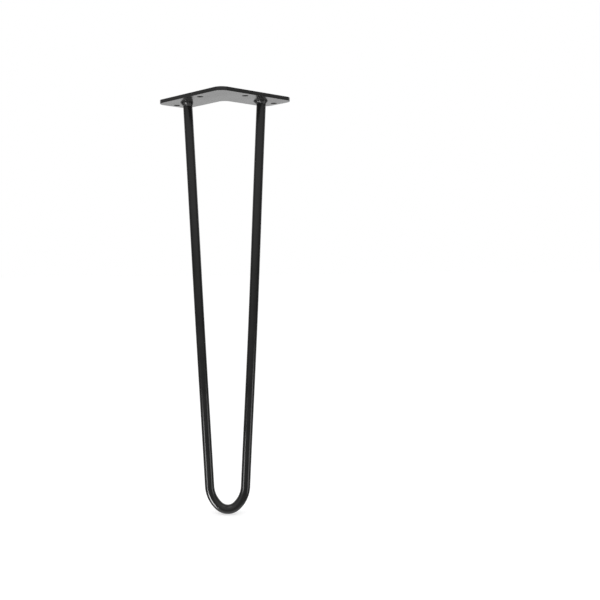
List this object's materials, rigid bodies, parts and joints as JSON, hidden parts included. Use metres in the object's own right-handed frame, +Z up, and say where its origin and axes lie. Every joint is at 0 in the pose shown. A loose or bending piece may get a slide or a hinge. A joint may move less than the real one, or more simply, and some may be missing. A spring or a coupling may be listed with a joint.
{
  "type": "hairpin table leg",
  "caption": "Narrow U of round steel rod, welded at both ends under an L-shaped corner plate with plain screw holes; the rod's bend is the foot.",
  "frame": {"origin": "on the plate's table face, at the centre of the square where its two arms meet", "axes": "+Z up out of the table face, from the floor to the table top; +Y along the plate's diagonal from its outer corner to the notch, so -Y points to the table's corner; X = 0 is the plane of symmetry"},
  "size_m": [0.1416, 0.0974, 0.45],
  "materials": {
    "black_powder_coat": "smooth satin black powder coat over steel"
  },
  "bodies": {
    "root": {"mounting_plate": "black_powder_coat", "hairpin_rod": "black_powder_coat", "left_weld_bead": "black_powder_coat", "right_weld_bead": "black_powder_coat"}
  },
  "joints": []
}
